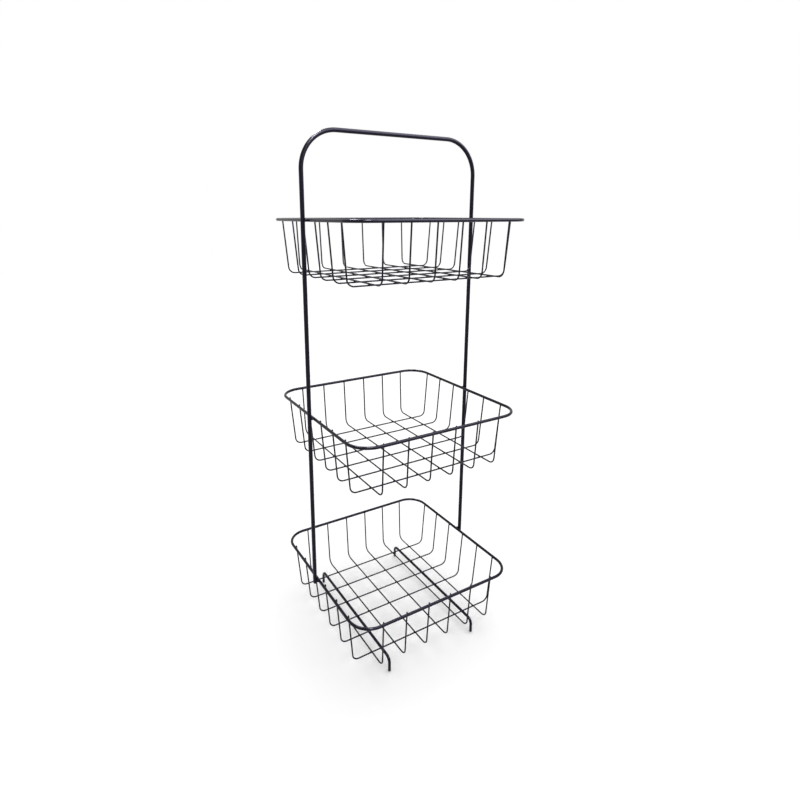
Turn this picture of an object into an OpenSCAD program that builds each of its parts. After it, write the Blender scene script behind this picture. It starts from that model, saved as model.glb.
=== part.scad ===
// Three-tier wire rack: one bent handle rod carries three open wire baskets, and two bent wires are its legs.
// X runs across the rack from upright to upright, Y from front to back, and Z up from the floor that it stands on.

/* [Rack] */
// Overall height, from the feet to the top of the handle
rack_h = 690; // [670:1:760]

/* [Handle] */
// Diameter of the handle rod
handle_rod_d = 5.5; // [4:0.5:7]
// Bend radius of the handle's top corners, at the middle of the rod
handle_bend_r = 46; // [20:1:60]
// How far the handle's rounded ends reach below the middle of the bottom rim
handle_tail = 5; // [4:0.5:12]

/* [Rims] */
// Width of a rim over its wire, left to right
rim_w = 250; // [200:1:300]
// Depth of a rim over its wire, front to back
rim_d = 250; // [200:1:300]
// Diameter of the rim wire
rim_wire_d = 4; // [2.6:0.1:4.6]
// Corner radius of a rim, at the middle of its wire
rim_corner_r = 29; // [10:0.5:34]

/* [Tiers] */
// Distance from the middle of the top rim up to the top of the handle
handle_rise = 106.1; // [80:0.1:140]
// Place of the middle rim, as a share of the way from the bottom rim up to the top rim
middle_rim_share = 0.491; // [0.4:0.001:0.6]

/* [Baskets] */
// Depth of a basket, from the middle of its rim down to the middle of its lower floor wires
basket_depth = 70.7; // [50:0.1:80]
// Diameter of the mesh wires
mesh_wire_d = 2; // [1.2:0.1:2.4]
// Number of mesh wires in each direction of a basket
mesh_count = 6; // [4:1:8]
// Distance from the outside of the rim to the middle of the outermost mesh wire, at the rim
mesh_inset = 37.5; // [30:0.5:44]
// How far the outermost mesh wires spread apart between the floor and the rim
mesh_splay = 1; // [0:0.5:8]
// Bend radius of a mesh wire between the floor and a wall, at the middle of the wire
mesh_bend_r = 9; // [5:0.5:15]
// How far the mesh wires' tips stand above the middle of the rim
mesh_tip_rise = 1.6; // [1.2:0.1:6]
// Inward lean of the left and right walls, in degrees
side_lean = 5; // [0:0.5:8]
// Inward lean of the front and back walls, in degrees
front_lean = 4; // [0:0.5:8]

/* [Legs] */
// Height of a leg, from its feet to the top of its bar
leg_h = 21.7; // [14:0.1:30]
// Length of a leg over its two feet, front to back
leg_l = 213; // [170:1:218]
// Diameter of the leg wire
leg_wire_d = 4; // [2.6:0.1:4.6]
// Bend radius of a leg between its bar and a foot, at the middle of the wire
leg_bend_r = 7.5; // [5:0.5:11]

/* [Welds] */
// Diameter of a weld bead where an upright meets a rim
weld_d = 4.2; // [3.2:0.1:4.8]

/* [Hidden] */
tiers = ["bottom", "middle", "top"];
leg_sides = ["left", "right"];

black_paint = [0.10, 0.09, 0.12];
$fn = 32;

// Each bend meets its straight runs inside a short collar that is a hair thicker than the wire,
// written as shares of the wire's diameter: the collar's diameter, its length, and the gap that it covers
collar_d_share = 1.01;
collar_l_share = 0.2;
collar_gap_share = 0.03;

// Middle lines of the rim wire, and of the uprights that touch it outside
rim_half_w = (rim_w - rim_wire_d) / 2;
rim_half_d = (rim_d - rim_wire_d) / 2;
upright_x = (rim_w + handle_rod_d) / 2;

// Heights of the legs' bars, then of the bottom basket that lies on them, then of the rims
leg_bar_z = leg_h - leg_wire_d / 2;
bottom_floor_z = leg_h + mesh_wire_d / 2;
bottom_rim_z = bottom_floor_z + basket_depth;
top_rim_z = rack_h - handle_rise;
middle_rim_z = bottom_rim_z + (top_rim_z - bottom_rim_z) * middle_rim_share;
rim_zs = [bottom_rim_z, middle_rim_z, top_rim_z];

// The handle's ends are domes, a hair narrower than the rod and sunk a little way into it
dome_d_share = 0.98;
dome_sunk_share = 0.08;
handle_top_z = rack_h - handle_rod_d / 2;
dome_z = bottom_rim_z - handle_tail + handle_rod_d * dome_d_share / 2;
handle_end_z = dome_z - handle_rod_d * dome_sunk_share;

// The long wires lie on top of the cross wires, so their floor is one wire higher
long_depth = basket_depth - mesh_wire_d;
tip_reach = (rim_wire_d + mesh_wire_d) / 2;
cross_floor_x = wall_foot(rim_half_w, basket_depth, side_lean);
long_floor_y = wall_foot(rim_half_d, long_depth, front_lean);

// Places of the outermost mesh wires at the rim and on the floor
cross_rim_y = rim_d / 2 - mesh_inset;
long_rim_x = rim_w / 2 - mesh_inset;
cross_floor_y = cross_rim_y - mesh_splay;
long_floor_x = long_rim_x - mesh_splay;

// Each leg runs midway between the outermost long wire and the next one
leg_x = long_floor_x - long_floor_x / (mesh_count - 1);
leg_y = (leg_l - leg_wire_d) / 2;

// A bead lies in the corner between the two round wires, just in front of or behind where they touch
weld_out_share = 0.125;
weld_side_share = 1.04;
weld_x = rim_w / 2 + weld_d * weld_out_share;
weld_y = handle_rod_d / 2 * weld_side_share;

function cross_name(tier, i) = str(tier, "_cross_wire_", i + 1);
function long_name(tier, i) = str(tier, "_long_wire_", i + 1);

// Place of wire i of the set whose outermost wire is at half
function spread(half, i) = half * (2 * i / (mesh_count - 1) - 1);

// Where a wall that leans inward and touches the inside of the rim wire reaches the floor
function wall_foot(rim_half, depth, lean) = rim_half - tip_reach / cos(lean) - depth * tan(lean);

function unit(v) = v / norm(v);
function corner(points, i) = points[(i + len(points)) % len(points)];
function bends_at(points, i, closed) = closed || (i % len(points) > 0 && i < len(points) - 1);
function turn(points, i) =
    let (before = corner(points, i) - corner(points, i - 1), after = corner(points, i + 1) - corner(points, i))
    atan2(cross(before, after), before * after);

// How far before and after corner i the wire leaves its straight runs for the bend
function set_back(points, i, bend_r, closed) =
    bends_at(points, i, closed) ? bend_r * tan(abs(turn(points, i)) / 2) : 0;

// A round wire bent in the XY plane along points, with every corner rounded by the radius bend_r
module bent_wire(points, bend_r, d, closed = false) {
    runs = closed ? len(points) : len(points) - 1;
    for (i = [0 : runs - 1]) {
        along = unit(corner(points, i + 1) - points[i]);
        first_gap = bends_at(points, i, closed) ? d * collar_gap_share : 0;
        last_gap = bends_at(points, i + 1, closed) ? d * collar_gap_share : 0;
        from = points[i] + along * (set_back(points, i, bend_r, closed) + first_gap);
        to = corner(points, i + 1) - along * (set_back(points, i + 1, bend_r, closed) + last_gap);
        translate([from.x, from.y, 0])
            rotate([0, 90, atan2(along.y, along.x)])
                cylinder(h = norm(to - from), d = d);
    }
    for (i = [0 : len(points) - 1])
        if (bends_at(points, i, closed)) wire_bend(points, i, bend_r, d);
}

// The bend at corner i, with a collar at each end that joins it to the straight run there
module wire_bend(points, i, bend_r, d) {
    angle = turn(points, i);
    before = unit(points[i] - corner(points, i - 1));
    after = unit(corner(points, i + 1) - points[i]);
    start = points[i] - before * bend_r * tan(abs(angle) / 2);
    end = points[i] + after * bend_r * tan(abs(angle) / 2);
    centre = start + sign(angle) * bend_r * [-before.y, before.x];
    first = atan2(start.y - centre.y, start.x - centre.x);
    translate([centre.x, centre.y, 0])
        rotate([0, 0, min(first, first + angle)])
            rotate_extrude(angle = abs(angle), $fn = 64)
                translate([bend_r, 0])
                    circle(d = d);
    for (joint = [[start, before], [end, after]])
        translate([joint[0].x, joint[0].y, 0])
            rotate([0, 90, atan2(joint[1].y, joint[1].x)])
                cylinder(h = d * collar_l_share, d = d * collar_d_share, center = true);
}

// A wire bent like a basket's section: up one wall, across the floor and up the other wall
module basket_wire(floor_half, depth, lean, splay) {
    rise = depth + mesh_tip_rise;
    tip = [floor_half + rise * tan(lean), norm([rise, splay * rise / depth])];
    bent_wire(
        [[-tip.x, tip.y], [-floor_half, 0], [floor_half, 0], tip],
        mesh_bend_r,
        mesh_wire_d
    );
}

// Handle and both uprights, one bent rod with rounded ends
module handle_frame() {
    color(black_paint) {
        rotate([90, 0, 0])
            bent_wire(
                [
                    [-upright_x, handle_end_z],
                    [-upright_x, handle_top_z],
                    [upright_x, handle_top_z],
                    [upright_x, handle_end_z]
                ],
                handle_bend_r,
                handle_rod_d
            );
        for (side = [-1, 1])
            translate([side * upright_x, 0, dome_z])
                sphere(d = handle_rod_d * dome_d_share);
    }
}

// Rim of one basket, a closed ring
module rim(tier) {
    color(black_paint)
        translate([0, 0, rim_zs[tier]])
            bent_wire(
                [
                    [-rim_half_w, -rim_half_d],
                    [rim_half_w, -rim_half_d],
                    [rim_half_w, rim_half_d],
                    [-rim_half_w, rim_half_d]
                ],
                rim_corner_r,
                rim_wire_d,
                closed = true
            );
}

// Four weld beads that join one rim to both uprights, cut to lie on both wires
module rim_welds(tier) {
    color(black_paint)
        translate([0, 0, rim_zs[tier]])
            for (turned = [0, 180])
                rotate([0, 0, turned])
                    for (face = [-1, 1])
                        difference() {
                            translate([-weld_x, face * weld_y, 0])
                                sphere(d = weld_d);
                            translate([-upright_x, 0, -handle_rod_d / 2])
                                cylinder(h = handle_rod_d, d = handle_rod_d);
                            translate([-rim_half_w, -handle_rod_d, 0])
                                rotate([-90, 0, 0])
                                    cylinder(h = 2 * handle_rod_d, d = rim_wire_d);
                        }
}

// Mesh wire i that crosses a basket from left to right
module cross_wire(tier, i) {
    splay = spread(cross_rim_y, i) - spread(cross_floor_y, i);
    color(black_paint)
        translate([0, spread(cross_floor_y, i), rim_zs[tier] - basket_depth])
            rotate([90 - atan2(splay, basket_depth), 0, 0])
                basket_wire(cross_floor_x, basket_depth, side_lean, splay);
}

// Mesh wire i that runs from the front of a basket to its back
module long_wire(tier, i) {
    splay = spread(long_rim_x, i) - spread(long_floor_x, i);
    color(black_paint)
        translate([spread(long_floor_x, i), 0, rim_zs[tier] - long_depth])
            rotate([0, 0, -90])
                rotate([90 - atan2(splay, long_depth), 0, 0])
                    basket_wire(long_floor_y, long_depth, front_lean, splay);
}

// One leg: a bar under the bottom basket, bent down at both ends into plain feet
module leg(side) {
    color(black_paint)
        translate([side * leg_x, 0, 0])
            rotate([90, 0, 90])
                bent_wire(
                    [[-leg_y, 0], [-leg_y, leg_bar_z], [leg_y, leg_bar_z], [leg_y, 0]],
                    leg_bend_r,
                    leg_wire_d
                );
}

handle_frame();
for (t = [0 : len(tiers) - 1]) {
    rim(t);
    rim_welds(t);
    for (i = [0 : mesh_count - 1]) {
        cross_wire(t, i);
        long_wire(t, i);
    }
}
leg(-1);  // left_leg
leg(1);  // right_leg
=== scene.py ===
import math
import random

import bmesh
import bpy
from mathutils import Euler, Matrix, Vector


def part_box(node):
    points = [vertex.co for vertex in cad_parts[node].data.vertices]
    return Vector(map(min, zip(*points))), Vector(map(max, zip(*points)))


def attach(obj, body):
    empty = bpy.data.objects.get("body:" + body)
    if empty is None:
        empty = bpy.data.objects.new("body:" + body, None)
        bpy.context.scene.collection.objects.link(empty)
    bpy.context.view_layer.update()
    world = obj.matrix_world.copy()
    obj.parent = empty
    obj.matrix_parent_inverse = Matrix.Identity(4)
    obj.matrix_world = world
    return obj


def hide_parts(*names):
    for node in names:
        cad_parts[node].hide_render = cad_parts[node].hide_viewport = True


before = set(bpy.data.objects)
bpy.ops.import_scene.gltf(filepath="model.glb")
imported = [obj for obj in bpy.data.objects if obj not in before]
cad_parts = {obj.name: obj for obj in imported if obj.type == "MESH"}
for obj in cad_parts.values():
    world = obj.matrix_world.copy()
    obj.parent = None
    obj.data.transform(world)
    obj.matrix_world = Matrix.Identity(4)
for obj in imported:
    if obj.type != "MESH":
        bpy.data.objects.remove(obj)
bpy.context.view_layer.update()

# Camera, where the photograph was taken from
CAMERA_PLACE = (-0.38331, -0.61706, 0.59058)
CAMERA_YAW = math.radians(30.611)
CAMERA_PITCH = math.radians(13.893)
CAMERA_ROLL = math.radians(-0.021)
CAMERA_SENSOR_WIDTH = 36
CAMERA_LENS = 24.470
CAMERA_SHIFT_X = 0.0221
CAMERA_SHIFT_Y = -0.0640
CAMERA_NEAREST = 0.01

camera_data = bpy.data.cameras.new("camera")
camera_data.sensor_width = CAMERA_SENSOR_WIDTH
camera_data.lens = CAMERA_LENS
camera_data.shift_x = CAMERA_SHIFT_X
camera_data.shift_y = CAMERA_SHIFT_Y
camera_data.clip_start = CAMERA_NEAREST
camera = bpy.data.objects.new("camera", camera_data)
bpy.context.scene.collection.objects.link(camera)
level_look = Euler((math.pi / 2 - CAMERA_PITCH, 0, -CAMERA_YAW)).to_matrix()
rolled_look = level_look @ Matrix.Rotation(CAMERA_ROLL, 3, "Z")
camera.matrix_world = Matrix.Translation(CAMERA_PLACE) @ rolled_look.to_4x4()
bpy.context.scene.camera = camera

# Thicknesses of the wires and bend radii at their middle lines, in metres
ROD_D = 0.0055
RIM_WIRE_D = 0.004
MESH_WIRE_D = 0.002
LEG_WIRE_D = 0.004
HANDLE_BEND_R = 0.046
RIM_CORNER_R = 0.029
MESH_BEND_R = 0.009
LEG_BEND_R = 0.0075

# Mesh of a basket: how far the outermost wires stand from its middle at the rim and on the floor,
# how far the tips stand above the middle of the rim, and how the walls lean
TIERS = ("bottom", "middle", "top")
MESH_COUNT = 6
RIM_SPREAD = 0.0875
FLOOR_SPREAD = 0.0865
TIP_RISE = 0.0016
SIDE_LEAN = math.radians(5)
FRONT_LEAN = math.radians(4)

# Rounding of the wires' cut ends, as shares of the wires' diameters
ROD_END_ROUND = 0.4
MESH_END_ROUND = 0.2
LEG_END_ROUND = 0.12

# Half sizes of the weld spots, as shares of the wires' diameters, and how much they vary
FLOOR_SPOT_SHARES = (0.76, 0.76, 0.36)
TIP_SPOT_SHARES = (0.36, 0.62, 0.6)
LEG_SPOT_ACROSS = 0.42
LEG_SPOT_ALONG = 0.66
LEG_SPOT_HEIGHT = 0.36
SPOT_LUMPS = 0.12
SPOT_SMALLEST = 0.88
SPOT_LARGEST = 1.12
SPOT_SEED = 7

# Weld beads between the uprights and the rims. Each is a ball, drawn out along the rim from a
# little past its middle and then made uneven. Its middle stands out from where the two wires
# touch by a share of its radius, and to the side by a share of the rod's diameter.
BEAD_R = 0.00215
BEAD_STRETCH = (0.86, 1.35, 0.86)
BEAD_STRETCH_FROM = 0.0004
BEAD_LUMPS = 0.00022
BEAD_OUT_SHARE = 0.2
BEAD_SIDE_SHARE = 0.52

# Where a bend starts, a solid of the frame is one hundredth thicker than its wire, so its box
# reaches this share of the wire's diameter past the middle line
BOX_REACH = 0.505

# Places that the frame gives: the uprights, the rims, the floors of the baskets and the legs
handle_low, handle_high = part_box("handle_frame")
upright_x = (handle_high.x - handle_low.x) / 2 - ROD_D * BOX_REACH
handle_top_z = handle_high.z - ROD_D / 2
handle_end_z = handle_low.z
rim_low, rim_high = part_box("bottom_rim")
rim_half_w = (rim_high.x - rim_low.x) / 2 - RIM_WIRE_D * BOX_REACH
rim_half_d = (rim_high.y - rim_low.y) / 2 - RIM_WIRE_D * BOX_REACH
rim_z = {}
floor_z = {}
for tier in TIERS:
    low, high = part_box(tier + "_rim")
    rim_z[tier] = (low.z + high.z) / 2
    floor_z[tier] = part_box(tier + "_cross_wire_3")[0].z + MESH_WIRE_D / 2
leg_low, leg_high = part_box("right_leg")
leg_x = (leg_low.x + leg_high.x) / 2
leg_y = (leg_high.y - leg_low.y) / 2 - LEG_WIRE_D * BOX_REACH
leg_bar_z = floor_z["bottom"] - (MESH_WIRE_D + LEG_WIRE_D) / 2
cross_depth = rim_z["bottom"] - floor_z["bottom"]
long_depth = cross_depth - MESH_WIRE_D


def only(piece):
    """Makes piece the one object that the next operator acts on."""
    bpy.ops.object.select_all(action="DESELECT")
    piece.select_set(True)
    bpy.context.view_layer.objects.active = piece


def name_piece(piece, name):
    """Gives the piece and its mesh this name."""
    piece.name = name
    piece.data.name = name


def apply_place(piece):
    """Puts the piece's place and turn into its mesh."""
    only(piece)
    bpy.ops.object.transform_apply(location=True, rotation=True, scale=True)


def copy_of(piece, name):
    """A copy of the piece with its own mesh."""
    only(piece)
    bpy.ops.object.duplicate(linked=False)
    copied = bpy.context.object
    name_piece(copied, name)
    return copied


def pick_faces(piece, wanted):
    """Selects in edit mode the faces that wanted says yes to, and nothing else."""
    bpy.ops.mesh.select_mode(type="FACE")
    bpy.ops.mesh.select_all(action="DESELECT")
    shape = bmesh.from_edit_mesh(piece.data)
    for face in shape.faces:
        face.select_set(wanted(face))
    bmesh.update_edit_mesh(piece.data)


def smooth(piece, sharpest):
    """Shades the piece smooth, apart from edges that turn by more than this many degrees."""
    only(piece)
    bpy.ops.object.shade_smooth_by_angle(angle=math.radians(sharpest))


def draw_wire(name, corners, bend_r, thickness, sides, bend_steps, end_round=0.0, end_steps=2):
    """Draws a round wire along its corners. A ring of points is drawn out along each straight run
    and spun round each bend. A wire that comes back to its first corner is closed, and the ends
    of any other wire are capped and rounded."""
    corners = [Vector(c) for c in corners]
    closed = (corners[0] - corners[-1]).length < thickness
    first = (corners[1] - corners[0]).normalized()
    bpy.ops.object.select_all(action="DESELECT")
    bpy.ops.mesh.primitive_circle_add(
        vertices=sides,
        radius=thickness / 2,
        location=corners[0],
        rotation=first.to_track_quat("Z", "Y").to_euler(),
    )
    wire = bpy.context.object
    name_piece(wire, name)
    apply_place(wire)
    bpy.ops.object.mode_set(mode="EDIT")
    bpy.ops.mesh.select_mode(type="VERT")
    bpy.ops.mesh.select_all(action="SELECT")
    reached = corners[0]
    for before, at, after in zip(corners, corners[1:], corners[2:]):
        way_in = (at - before).normalized()
        way_out = (after - at).normalized()
        angle = way_in.angle(way_out)
        axis = way_in.cross(way_out).normalized()
        leave = at - way_in * bend_r * math.tan(angle / 2)
        bpy.ops.mesh.extrude_region_move(TRANSFORM_OT_translate={"value": leave - reached})
        bpy.ops.mesh.spin(
            steps=bend_steps,
            angle=-angle,
            center=leave + axis.cross(way_in) * bend_r,
            axis=axis,
        )
        reached = at + way_out * bend_r * math.tan(angle / 2)
    bpy.ops.mesh.extrude_region_move(TRANSFORM_OT_translate={"value": corners[-1] - reached})
    if closed:
        bpy.ops.mesh.select_all(action="SELECT")
        bpy.ops.mesh.remove_doubles(threshold=thickness / 100)
    else:
        bpy.ops.mesh.select_all(action="DESELECT")
        bpy.ops.mesh.select_non_manifold(
            extend=False,
            use_wire=False,
            use_boundary=True,
            use_multi_face=False,
            use_non_contiguous=False,
            use_verts=False,
        )
        bpy.ops.mesh.fill_holes(sides=0)
        pick_faces(wire, lambda face: len(face.verts) == sides)
        bpy.ops.mesh.region_to_loop()
        bpy.ops.mesh.bevel(offset=end_round, segments=end_steps, affect="EDGES")
    bpy.ops.mesh.select_all(action="SELECT")
    bpy.ops.mesh.normals_make_consistent(inside=False)
    bpy.ops.object.mode_set(mode="OBJECT")
    smooth(wire, sharpest=40)
    return wire


def spread(half, i):
    """Place of mesh wire i of the set whose outermost wire is at half."""
    return half * (2 * i / (MESH_COUNT - 1) - 1)


def section(name, floor_half, depth, lean):
    """One basket wire in the XZ plane: up a wall, across the floor and up the other wall."""
    rise = depth + TIP_RISE
    tip_x = floor_half + rise * math.tan(lean)
    return draw_wire(
        name,
        [(-tip_x, 0, rise), (-floor_half, 0, 0), (floor_half, 0, 0), (tip_x, 0, rise)],
        MESH_BEND_R,
        MESH_WIRE_D,
        sides=12,
        bend_steps=8,
        end_round=MESH_WIRE_D * MESH_END_ROUND,
    )


def wall_foot(rim_half, depth, lean):
    """Where a wall that leans inward and touches the inside of the rim wire reaches the floor."""
    reach = (RIM_WIRE_D + MESH_WIRE_D) / 2
    return rim_half - reach / math.cos(lean) - depth * math.tan(lean)


# Handle and uprights, one rod with two bends and rounded ends
handle = draw_wire(
    "handle_rod",
    [
        (-upright_x, 0, handle_end_z),
        (-upright_x, 0, handle_top_z),
        (upright_x, 0, handle_top_z),
        (upright_x, 0, handle_end_z),
    ],
    HANDLE_BEND_R,
    ROD_D,
    sides=28,
    bend_steps=22,
    end_round=ROD_D * ROD_END_ROUND,
    end_steps=5,
)
wires = {"handle_frame": handle}

# Rims, drawn once as a closed ring that starts in the middle of its back side
ring = draw_wire(
    "rim_wire",
    [
        (0, rim_half_d, 0),
        (-rim_half_w, rim_half_d, 0),
        (-rim_half_w, -rim_half_d, 0),
        (rim_half_w, -rim_half_d, 0),
        (rim_half_w, rim_half_d, 0),
        (0, rim_half_d, 0),
    ],
    RIM_CORNER_R,
    RIM_WIRE_D,
    sides=20,
    bend_steps=12,
)
cross_section = section(
    "cross_section", wall_foot(rim_half_w, cross_depth, SIDE_LEAN), cross_depth, SIDE_LEAN
)
long_section = section(
    "long_section", wall_foot(rim_half_d, long_depth, FRONT_LEAN), long_depth, FRONT_LEAN
)
for tier in TIERS:
    rim = copy_of(ring, tier + "_rim_wire")
    rim.location.z = rim_z[tier]
    wires[tier + "_rim"] = rim
    for i in range(MESH_COUNT):
        splay = spread(RIM_SPREAD, i) - spread(FLOOR_SPREAD, i)
        crossing = copy_of(cross_section, f"{tier}_crosswise_wire_{i + 1}")
        crossing.rotation_euler.x = -math.atan2(splay, cross_depth)
        crossing.location = (0, spread(FLOOR_SPREAD, i), floor_z[tier])
        wires[f"{tier}_cross_wire_{i + 1}"] = crossing
        running = copy_of(long_section, f"{tier}_lengthwise_wire_{i + 1}")
        tilt = Matrix.Rotation(math.atan2(splay, long_depth), 4, "Y")
        quarter = Matrix.Rotation(math.pi / 2, 4, "Z")
        lift = (spread(FLOOR_SPREAD, i), 0, floor_z[tier] + MESH_WIRE_D)
        running.matrix_world = Matrix.Translation(lift) @ tilt @ quarter
        wires[f"{tier}_long_wire_{i + 1}"] = running

# Legs
leg = draw_wire(
    "leg_wire",
    [(0, -leg_y, 0), (0, -leg_y, leg_bar_z), (0, leg_y, leg_bar_z), (0, leg_y, 0)],
    LEG_BEND_R,
    LEG_WIRE_D,
    sides=20,
    bend_steps=10,
    end_round=LEG_WIRE_D * LEG_END_ROUND,
)
for side, name in ((-1, "left_leg"), (1, "right_leg")):
    standing = copy_of(leg, name + "_wire")
    standing.location.x = side * leg_x
    wires[name] = standing
for pattern in (ring, cross_section, long_section, leg):
    bpy.data.objects.remove(pattern)


def weld_spot(name, half_sizes, seed):
    """A small lens of squeezed-out metal round the point where two wires touch."""
    bpy.ops.object.select_all(action="DESELECT")
    bpy.ops.mesh.primitive_uv_sphere_add(segments=10, ring_count=6, radius=1, location=(0, 0, 0))
    spot = bpy.context.object
    name_piece(spot, name)
    spot.scale = half_sizes
    apply_place(spot)
    bpy.ops.object.mode_set(mode="EDIT")
    bpy.ops.mesh.select_all(action="SELECT")
    bpy.ops.transform.vertex_random(offset=min(half_sizes) * SPOT_LUMPS, seed=seed)
    bpy.ops.object.mode_set(mode="OBJECT")
    smooth(spot, sharpest=60)
    return spot


def join(pieces, name):
    """One piece made of all of these."""
    bpy.ops.object.select_all(action="DESELECT")
    for piece in pieces:
        piece.select_set(True)
    bpy.context.view_layer.objects.active = pieces[0]
    bpy.ops.object.join()
    name_piece(pieces[0], name)
    return pieces[0]


def place_spots(spot, places, name, chance):
    """Copies of one weld spot at all the places, each turned and sized a little differently."""
    spots = []
    for at, turned in places:
        laid = copy_of(spot, name)
        laid.location = at
        laid.rotation_euler.z = turned + math.pi * chance.randint(0, 1)
        laid.scale = [chance.uniform(SPOT_SMALLEST, SPOT_LARGEST) for _ in range(3)]
        spots.append(laid)
    return join(spots, name)


# Weld spots of one basket: where its wires cross on the floor, and where their tips meet the rim
chance = random.Random(SPOT_SEED)
floor_spot = weld_spot("floor_spot", [MESH_WIRE_D * share for share in FLOOR_SPOT_SHARES], seed=1)
floor_places = [
    ((spread(FLOOR_SPREAD, i), spread(FLOOR_SPREAD, j), floor_z["bottom"] + MESH_WIRE_D / 2), 0)
    for i in range(MESH_COUNT)
    for j in range(MESH_COUNT)
]
tip_spot = weld_spot("tip_spot", [MESH_WIRE_D * share for share in TIP_SPOT_SHARES], seed=2)
tip_places = []
for i in range(MESH_COUNT):
    along = spread(RIM_SPREAD, i)
    for side in (-1, 1):
        inside_w = side * (rim_half_w - RIM_WIRE_D / 2)
        inside_d = side * (rim_half_d - RIM_WIRE_D / 2)
        tip_places.append(((inside_w, along, rim_z["bottom"]), 0))
        tip_places.append(((along, inside_d, rim_z["bottom"]), math.pi / 2))
floor_welds = place_spots(floor_spot, floor_places, "bottom_floor_weld_spots", chance)
tip_welds = place_spots(tip_spot, tip_places, "bottom_rim_weld_spots", chance)

# Weld spots between the legs' bars and the crosswise wires that lie on them
leg_spot = weld_spot(
    "leg_spot",
    [LEG_WIRE_D * LEG_SPOT_ACROSS, MESH_WIRE_D * LEG_SPOT_ALONG, MESH_WIRE_D * LEG_SPOT_HEIGHT],
    seed=3,
)
leg_places = [
    ((side * leg_x, spread(FLOOR_SPREAD, j), floor_z["bottom"] - MESH_WIRE_D / 2), 0)
    for side in (-1, 1)
    for j in range(MESH_COUNT)
]
leg_welds = place_spots(leg_spot, leg_places, "leg_weld_spots", chance)


def weld_bead(name, seed):
    """A lumpy bead of weld metal that is drawn out along the rim, round its own middle."""
    bpy.ops.object.select_all(action="DESELECT")
    bpy.ops.mesh.primitive_ico_sphere_add(subdivisions=3, radius=BEAD_R, location=(0, 0, 0))
    bead = bpy.context.object
    name_piece(bead, name)
    bpy.ops.object.mode_set(mode="EDIT")
    pick_faces(bead, lambda face: face.calc_center_median().y > BEAD_STRETCH_FROM)
    bpy.ops.transform.resize(value=BEAD_STRETCH, center_override=(0, 0, 0))
    bpy.ops.mesh.select_all(action="SELECT")
    bpy.ops.transform.vertex_random(offset=BEAD_LUMPS, seed=seed)
    bpy.ops.mesh.vertices_smooth(factor=0.5, repeat=2)
    bpy.ops.object.mode_set(mode="OBJECT")
    smooth(bead, sharpest=180)
    return bead


# Beads of one basket, in front of and behind the two places where the uprights touch its rim
beads = []
contact_x = (upright_x - ROD_D / 2 + rim_half_w + RIM_WIRE_D / 2) / 2
for side in (-1, 1):
    for face in (-1, 1):
        bead = weld_bead("bead", seed=10 + side + 3 * face)
        bead_x = side * (contact_x + BEAD_R * BEAD_OUT_SHARE)
        bead.location = (bead_x, face * ROD_D * BEAD_SIDE_SHARE, rim_z["bottom"])
        bead.scale = (side, face, 1)
        beads.append(bead)
upright_welds = join(beads, "bottom_upright_weld_beads")
bpy.ops.object.mode_set(mode="EDIT")
bpy.ops.mesh.select_all(action="SELECT")
bpy.ops.mesh.normals_make_consistent(inside=False)
bpy.ops.object.mode_set(mode="OBJECT")
for pattern in (floor_spot, tip_spot, leg_spot):
    bpy.data.objects.remove(pattern)

# The welds of the bottom basket again on the two baskets above it
welds = {"bottom": [floor_welds, tip_welds, upright_welds], "middle": [], "top": []}
for piece in list(welds["bottom"]):
    apply_place(piece)
    for tier in ("middle", "top"):
        raised = copy_of(piece, piece.name.replace("bottom", tier))
        raised.location.z = rim_z[tier] - rim_z["bottom"]
        apply_place(raised)
        welds[tier].append(raised)

# Paint: its colour and roughness run between two values in soft patches, under a fine orange peel
PAINT_DEEP = (0.0018, 0.0008, 0.0072, 1)
PAINT_PALE = (0.0034, 0.0020, 0.0100, 1)
PAINT_SMOOTHEST = 0.16
PAINT_ROUGHEST = 0.24
PAINT_IOR = 1.45
PAINT_GLOSS = 0.22
PAINT_GLOSS_TINT = (0.86, 0.84, 1.0, 1)
PATCH_SCALE = 60
PATCH_DETAIL = 4
PEEL_SCALE = 900
PEEL_DETAIL = 3
PEEL_STRENGTH = 0.08
PEEL_HEIGHT = 0.0001


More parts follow.
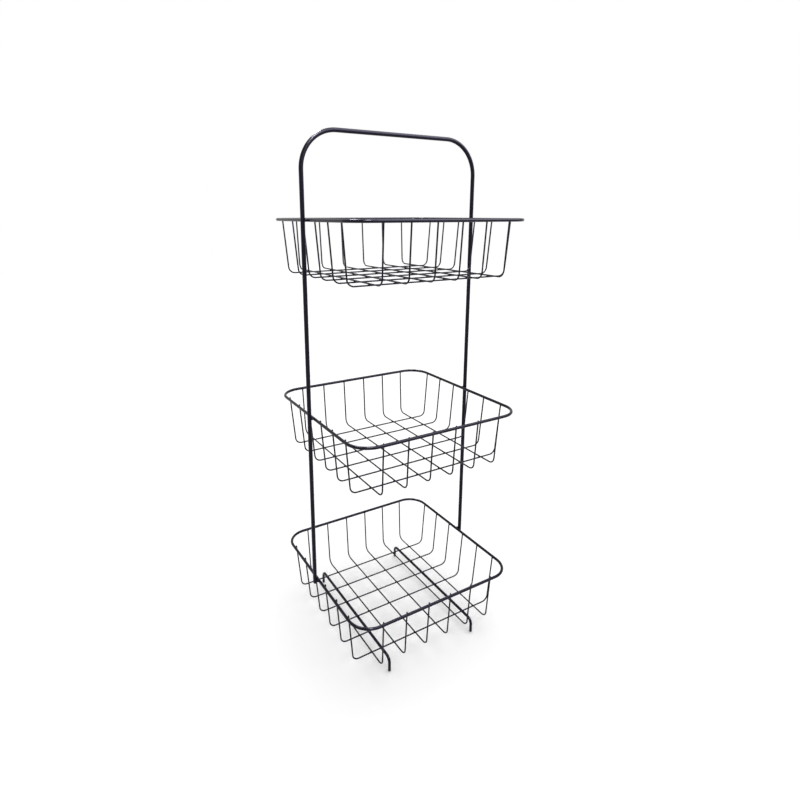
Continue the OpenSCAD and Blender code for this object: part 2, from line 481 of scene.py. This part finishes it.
def glossy_black_paint(name):
    """Black paint with a faint violet cast, fine orange peel and slightly uneven gloss."""
    paint = bpy.data.materials.new(name)
    paint.use_nodes = True
    nodes = paint.node_tree.nodes
    links = paint.node_tree.links
    shader = nodes["Principled BSDF"]
    shader.inputs["IOR"].default_value = PAINT_IOR
    shader.inputs["Specular IOR Level"].default_value = PAINT_GLOSS
    shader.inputs["Specular Tint"].default_value = PAINT_GLOSS_TINT
    place = nodes.new("ShaderNodeTexCoord")
    peel = nodes.new("ShaderNodeTexNoise")
    peel.inputs["Scale"].default_value = PEEL_SCALE
    peel.inputs["Detail"].default_value = PEEL_DETAIL
    links.new(place.outputs["Object"], peel.inputs["Vector"])
    bump = nodes.new("ShaderNodeBump")
    bump.inputs["Strength"].default_value = PEEL_STRENGTH
    bump.inputs["Distance"].default_value = PEEL_HEIGHT
    links.new(peel.outputs["Fac"], bump.inputs["Height"])
    links.new(bump.outputs["Normal"], shader.inputs["Normal"])
    patches = nodes.new("ShaderNodeTexNoise")
    patches.inputs["Scale"].default_value = PATCH_SCALE
    patches.inputs["Detail"].default_value = PATCH_DETAIL
    links.new(place.outputs["Object"], patches.inputs["Vector"])
    roughness = nodes.new("ShaderNodeMapRange")
    roughness.inputs["To Min"].default_value = PAINT_SMOOTHEST
    roughness.inputs["To Max"].default_value = PAINT_ROUGHEST
    links.new(patches.outputs["Fac"], roughness.inputs["Value"])
    links.new(roughness.outputs["Result"], shader.inputs["Roughness"])
    black = nodes.new("ShaderNodeMix")
    black.data_type = "RGBA"
    black.inputs["A"].default_value = PAINT_DEEP
    black.inputs["B"].default_value = PAINT_PALE
    links.new(patches.outputs["Fac"], black.inputs["Factor"])
    links.new(black.outputs["Result"], shader.inputs["Base Color"])
    return paint


wire_paint = glossy_black_paint("glossy_black_paint")


def finish_piece(piece, *nodes):
    """Paints the piece, and says what it rides on and which nodes it stands for."""
    apply_place(piece)
    piece.data.materials.clear()
    piece.data.materials.append(wire_paint)
    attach(piece, "root")
    if nodes:
        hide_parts(*nodes)


for node, piece in wires.items():
    finish_piece(piece, node)
for tier in TIERS:
    for piece in welds[tier]:
        if "upright" in piece.name:
            finish_piece(piece, tier + "_rim_welds")
        else:
            finish_piece(piece)
finish_piece(leg_welds)

# Floor: pale and matt, and a little brighter to the camera so that it meets the white world
WHITE = (1, 1, 1, 1)
FLOOR_RADIUS = 6
FLOOR_COLOUR = (0.97, 0.97, 0.97, 1)
FLOOR_ROUGHNESS = 0.9
FLOOR_CAMERA_GLOW = 0.09

bpy.ops.object.select_all(action="DESELECT")
bpy.ops.mesh.primitive_circle_add(
    vertices=96, radius=FLOOR_RADIUS, fill_type="NGON", location=(0, 0, 0)
)
floor = bpy.context.object
name_piece(floor, "studio_floor")
floor_paint = bpy.data.materials.new("studio_floor")
floor_paint.use_nodes = True
floor_nodes = floor_paint.node_tree.nodes
floor_links = floor_paint.node_tree.links
floor_shader = floor_nodes["Principled BSDF"]
floor_shader.inputs["Base Color"].default_value = FLOOR_COLOUR
floor_shader.inputs["Roughness"].default_value = FLOOR_ROUGHNESS
floor_shader.inputs["Specular IOR Level"].default_value = 0
floor_shader.inputs["Emission Color"].default_value = WHITE
floor_path = floor_nodes.new("ShaderNodeLightPath")
floor_glow = floor_nodes.new("ShaderNodeMath")
floor_glow.operation = "MULTIPLY"
floor_glow.inputs[1].default_value = FLOOR_CAMERA_GLOW
floor_links.new(floor_path.outputs["Is Camera Ray"], floor_glow.inputs[0])
floor_links.new(floor_glow.outputs[0], floor_shader.inputs["Emission Strength"])
floor.data.materials.append(floor_paint)

# World: white to the camera and in reflections, softer as a light
WORLD_SEEN = 1.0
WORLD_LIGHT = 0.55

world = bpy.data.worlds.new("studio_world")
bpy.context.scene.world = world
world.use_nodes = True
world_nodes = world.node_tree.nodes
world_links = world.node_tree.links
sky = world_nodes["Background"]
sky.inputs["Color"].default_value = WHITE
sky_path = world_nodes.new("ShaderNodeLightPath")
seen = world_nodes.new("ShaderNodeMath")
seen.operation = "MAXIMUM"
world_links.new(sky_path.outputs["Is Camera Ray"], seen.inputs[0])
world_links.new(sky_path.outputs["Is Glossy Ray"], seen.inputs[1])
seen_through = world_nodes.new("ShaderNodeMath")
seen_through.operation = "MAXIMUM"
world_links.new(seen.outputs[0], seen_through.inputs[0])
world_links.new(sky_path.outputs["Is Transmission Ray"], seen_through.inputs[1])
sky_level = world_nodes.new("ShaderNodeMapRange")
sky_level.inputs["To Min"].default_value = WORLD_LIGHT
sky_level.inputs["To Max"].default_value = WORLD_SEEN
world_links.new(seen_through.outputs[0], sky_level.inputs["Value"])
world_links.new(sky_level.outputs["Result"], sky.inputs["Strength"])

# Lamps: a broad soft light from above that casts the shadow, and softboxes that only the gloss
# shows, each aimed at a point of the handle
OVERHEAD_STRENGTH = 1.6
OVERHEAD_FROM = (0.20, 0.10, 0.97)
OVERHEAD_BREADTH = math.radians(45)
HANDLE_MIDDLE = (0, 0, 0.68)
HANDLE_LEFT_BEND = (-0.11, 0, 0.68)
CEILING_TINT = (0.86, 0.88, 1.0)
SMALL_BOX_TINT = (0.97, 0.97, 1.0)
SMALL_BOX_SIDE = 0.26
SMALL_BOX_DISTANCE = 1.0


def hang_light(name, kind, energy, shine_from):
    """A lamp of this kind, turned so that it shines from the direction given."""
    lamp_data = bpy.data.lights.new(name, kind)
    lamp_data.energy = energy
    lamp = bpy.data.objects.new(name, lamp_data)
    bpy.context.scene.collection.objects.link(lamp)
    lamp.rotation_euler = Vector(shine_from).to_track_quat("Z", "Y").to_euler()
    return lamp


def add_softbox(name, radiance, aim, shine_from, distance, side, tint):
    """A square softbox that shows only in gloss, this far from the point that it is aimed at."""
    softbox = hang_light(name, "AREA", radiance * math.pi * side * side, shine_from)
    softbox.data.shape = "RECTANGLE"
    softbox.data.size = side
    softbox.data.size_y = side
    softbox.data.color = tint
    softbox.location = Vector(aim) + Vector(shine_from).normalized() * distance
    softbox.visible_diffuse = False
    softbox.visible_camera = False


overhead = hang_light("overhead_light", "SUN", OVERHEAD_STRENGTH, OVERHEAD_FROM)
overhead.data.angle = OVERHEAD_BREADTH
overhead.visible_glossy = False
add_softbox(
    "ceiling_softbox",
    radiance=7,
    aim=HANDLE_MIDDLE,
    shine_from=(0.39, -0.62, 0.68),
    distance=0.6,
    side=0.9,
    tint=CEILING_TINT,
)
add_softbox(
    "front_softbox",
    radiance=130,
    aim=HANDLE_LEFT_BEND,
    shine_from=(-0.12, -0.60, 0.79),
    distance=SMALL_BOX_DISTANCE,
    side=SMALL_BOX_SIDE,
    tint=SMALL_BOX_TINT,
)
add_softbox(
    "back_softbox",
    radiance=90,
    aim=HANDLE_LEFT_BEND,
    shine_from=(-0.07, 0.45, 0.89),
    distance=SMALL_BOX_DISTANCE,
    side=SMALL_BOX_SIDE,
    tint=SMALL_BOX_TINT,
)

bpy.context.scene.view_settings.view_transform = "Standard"
